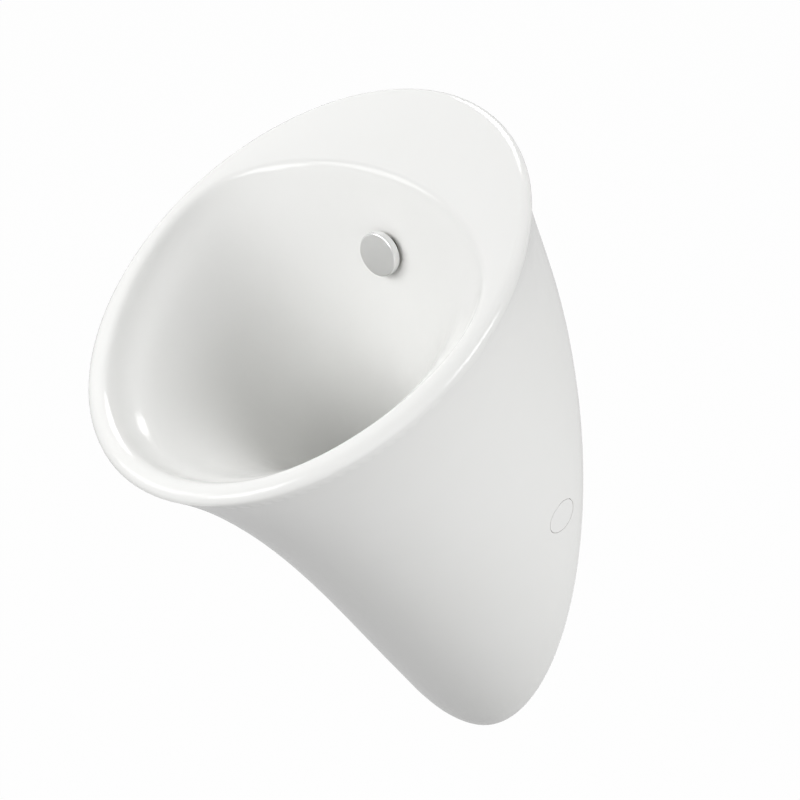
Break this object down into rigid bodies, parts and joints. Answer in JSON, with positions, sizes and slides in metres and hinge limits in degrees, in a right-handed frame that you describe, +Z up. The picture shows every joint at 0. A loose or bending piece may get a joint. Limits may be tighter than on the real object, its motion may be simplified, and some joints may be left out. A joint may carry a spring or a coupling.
{
  "type": "urinal",
  "caption": "Wall-hung ceramic urinal with a tilted oval trumpet mouth, a smooth skirt back to the wall, a chrome spray disc, a lift-out strainer over a trap, and side caps over the fixings.",
  "frame": {"origin": "midway between the two wall bolts, on the wall plane", "axes": "+Z up, +Y into the wall, -Y out of the wall towards the user, +X to the right of a user who faces the wall"},
  "size_m": [0.3, 0.3508, 0.6074],
  "materials": {
    "ceramic_glaze": "white gloss glaze",
    "cap_plastic": "white, gloss",
    "chrome": "polished plating",
    "brass": "turned",
    "rubber": "matte black",
    "zinc_steel": "zinc plated",
    "strainer_steel": "brushed stainless",
    "trap_plastic": "white, satin",
    "bush_nylon": "natural"
  },
  "bodies": {
    "body": {"ceramic_body": "ceramic_glaze", "spray_nozzle": "brass", "nozzle_front_gasket": "rubber", "nozzle_rear_gasket": "rubber", "nozzle_washer": "zinc_steel", "nozzle_nut": "brass", "inlet_connector": "rubber", "inlet_clamp": "zinc_steel", "waste_fitting": "chrome", "waste_upper_gasket": "rubber", "waste_lower_gasket": "rubber", "waste_washer": "zinc_steel", "waste_nut": "brass", "trap_inlet_nut": "trap_plastic", "trap_inlet_seal": "rubber", "trap_bend": "trap_plastic", "cleaning_plug": "trap_plastic", "cleaning_plug_seal": "rubber", "trap_union_nut": "trap_plastic", "trap_union_seal": "rubber", "outlet_elbow": "trap_plastic", "outlet_lip_seal": "rubber", "wall_bracket_right": "zinc_steel", "fixing_bush_right": "bush_nylon", "fixing_washer_right": "zinc_steel", "fixing_screw_right": "zinc_steel", "fixing_nut_right": "zinc_steel", "wall_bracket_left": "zinc_steel", "fixing_bush_left": "bush_nylon", "fixing_washer_left": "zinc_steel", "fixing_screw_left": "zinc_steel", "fixing_nut_left": "zinc_steel"},
    "strainer_part": {"strainer": "strainer_steel"},
    "cap_seal_part": {"spray_cap_seal": "rubber"},
    "spray_cap_part": {"spray_cap": "chrome"},
    "side_cap_right_part": {"side_cap_right": "cap_plastic"},
    "side_cap_left_part": {"side_cap_left": "cap_plastic"}
  },
  "joints": [
    {"name": "strainer_lift", "type": "slide", "parent": "body", "child": "strainer_part", "axis": [0, 0, 1], "range_m": [0, 0.05]},
    {"name": "side_cap_right_pull", "type": "slide", "parent": "body", "child": "side_cap_right_part", "axis": [1, 0, 0], "range_m": [0, 0.03]},
    {"name": "side_cap_left_pull", "type": "slide", "parent": "body", "child": "side_cap_left_part", "axis": [-1, 0, 0], "range_m": [0, 0.03]},
    {"name": "spray_cap_travel", "type": "slide", "parent": "body", "child": "cap_seal_part", "axis": [0, -1, 0], "range_m": [0, 0.0045]},
    {"name": "spray_cap_turn", "type": "hinge", "parent": "cap_seal_part", "child": "spray_cap_part", "pos_m": [0, -0.098, 0.2155], "axis": [0, -1, 0], "range_deg": [0, 1080]}
  ],
  "couplings": [
    {"joint": "spray_cap_travel", "follows": "spray_cap_turn", "m_per_rad": 0.00023873}
  ]
}
